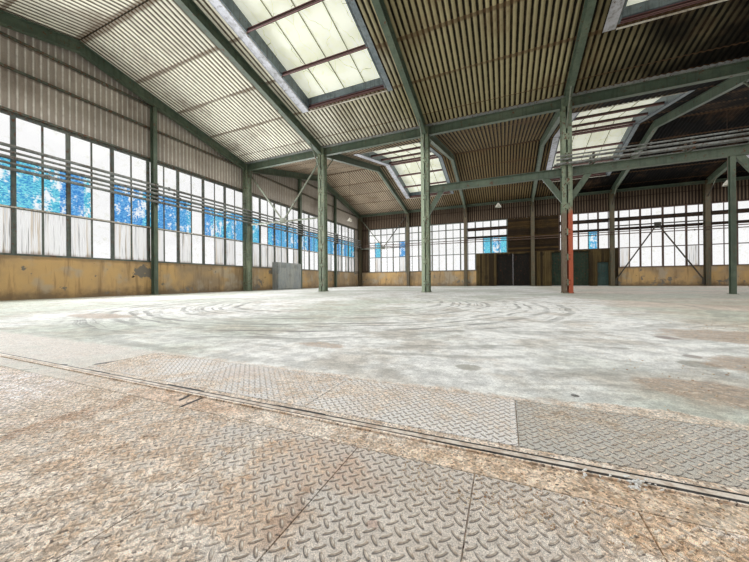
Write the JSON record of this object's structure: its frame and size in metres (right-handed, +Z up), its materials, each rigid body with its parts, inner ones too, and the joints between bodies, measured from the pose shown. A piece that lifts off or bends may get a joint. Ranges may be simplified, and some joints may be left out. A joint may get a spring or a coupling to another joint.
{
  "type": "factory building",
  "caption": "Steel-framed factory hall of side-by-side naves with corrugated walls and roof, ribbon windows, ridge rooflights, hinged gates, a side door and a pipe bridge on the valley row.",
  "frame": {"origin": "centre of the footprint at the underside of the floor slab", "axes": "+X along the valley between the naves, from the gable with the pipes and the switch cabinet towards the other gable; +Y across the naves, towards the long wall with the gates; +Z up"},
  "size_m": [36.5, 34.7218, 10.711],
  "materials": {
    "floor_concrete": "worn concrete with grit and stains",
    "plate_steel": "worn tear plate, dull, dusty",
    "edge_steel": "rusty mill finish",
    "dado_plaster": "ochre paint on plaster, flaking",
    "gate_wall_boards": "brown painted boards, worn",
    "frame_paint": "grey-green paint, weathered",
    "window_glass": "dusty pane",
    "wall_sheet": "corrugated fibre cement, grey brown",
    "steel_dark": "dark green paint",
    "infill_boards": "brown boards, worn",
    "steel_green": "sage green paint, dusty, some rust",
    "steel_light_green": "pale green paint, dusty",
    "purlin_maroon": "red-brown primer",
    "roof_sheet": "corrugated fibre cement, stained",
    "kerb_zinc": "dull zinc sheet",
    "light_pane": "milky translucent sheet, fine cracks",
    "ridge_zinc": "dull zinc sheet",
    "gutter_zinc": "dull zinc sheet",
    "pipe_silver": "silver paint, dusty",
    "pipe_grey": "grey paint, dusty",
    "lamp_enamel": "worn enamel",
    "hinge_steel": "bare steel, oiled and rusty",
    "gate_dark": "dark green paint, worn",
    "gate_green": "green paint, worn",
    "door_teal": "teal paint, worn",
    "cabinet_grey": "grey paint, scuffed"
  },
  "bodies": {
    "building": {"floor_slab": "floor_concrete", "pit_cover_plates": "plate_steel", "trench_cover_plates": "plate_steel", "floor_edge_angle": "edge_steel", "dado_sides": "dado_plaster", "dado_gables": "dado_plaster", "gate_wall": "gate_wall_boards", "window_frames_far": "frame_paint", "window_frames_near": "frame_paint", "window_frames_gables": "frame_paint", "window_glass": "window_glass", "side_cladding": "wall_sheet", "gable_cladding": "wall_sheet", "cladding_rails": "steel_dark", "infill_boards": "infill_boards", "valley_columns": "steel_green", "side_columns": "steel_green", "gable_posts": "steel_green", "rafters_front_nave": "steel_green", "rafters_back_nave": "steel_green", "valley_beams": "steel_green", "eaves_beams": "steel_green", "frame_bracing": "steel_light_green", "purlins": "purlin_maroon", "roof_sheets_front_nave": "roof_sheet", "roof_sheets_back_nave": "roof_sheet", "rooflight_kerbs": "kerb_zinc", "rooflight_panes": "light_pane", "ridge_caps": "ridge_zinc", "valley_gutter": "gutter_zinc", "pipe_bridge": "steel_green", "bridge_pipes": "pipe_silver", "gable_pipes": "pipe_silver", "pipe_brackets": "steel_dark", "far_wall_pipes": "pipe_grey", "pendant_lamps": "lamp_enamel", "hinge_pintles": "hinge_steel", "switch_cabinet": "cabinet_grey"},
    "gate_a_leaf_left": {"gate_a_leaf_left": "gate_dark"},
    "gate_a_leaf_right": {"gate_a_leaf_right": "gate_dark"},
    "gate_b_leaf_left": {"gate_b_leaf_left": "gate_green"},
    "gate_b_leaf_right": {"gate_b_leaf_right": "gate_green"},
    "side_door": {"side_door": "door_teal"},
    "cabinet_door_left": {"cabinet_door_left": "cabinet_grey"},
    "cabinet_door_right": {"cabinet_door_right": "cabinet_grey"}
  },
  "joints": [
    {"name": "gate_a_left_hinge", "type": "hinge", "parent": "building", "child": "gate_a_leaf_left", "pos_m": [-3.125, 17.272, 1.75], "axis": [0, 0, 1], "range_deg": [0, 100]},
    {"name": "gate_a_right_hinge", "type": "hinge", "parent": "building", "child": "gate_a_leaf_right", "pos_m": [-0.225, 17.272, 1.75], "axis": [0, 0, -1], "range_deg": [0, 100]},
    {"name": "gate_b_left_hinge", "type": "hinge", "parent": "building", "child": "gate_b_leaf_left", "pos_m": [1.525, 17.272, 1.75], "axis": [0, 0, 1], "range_deg": [0, 100]},
    {"name": "gate_b_right_hinge", "type": "hinge", "parent": "building", "child": "gate_b_leaf_right", "pos_m": [4.425, 17.272, 1.75], "axis": [0, 0, -1], "range_deg": [0, 100]},
    {"name": "side_door_hinge", "type": "hinge", "parent": "building", "child": "side_door", "pos_m": [5.85, 17.272, 1.2], "axis": [0, 0, -1], "range_deg": [0, 100]},
    {"name": "cabinet_left_hinge", "type": "hinge", "parent": "building", "child": "cabinet_door_left", "pos_m": [-17.48, 2.592, 1.15], "axis": [0, 0, -1], "range_deg": [0, 100]},
    {"name": "cabinet_right_hinge", "type": "hinge", "parent": "building", "child": "cabinet_door_right", "pos_m": [-17.48, 5.308, 1.15], "axis": [0, 0, 1], "range_deg": [0, 100]}
  ]
}
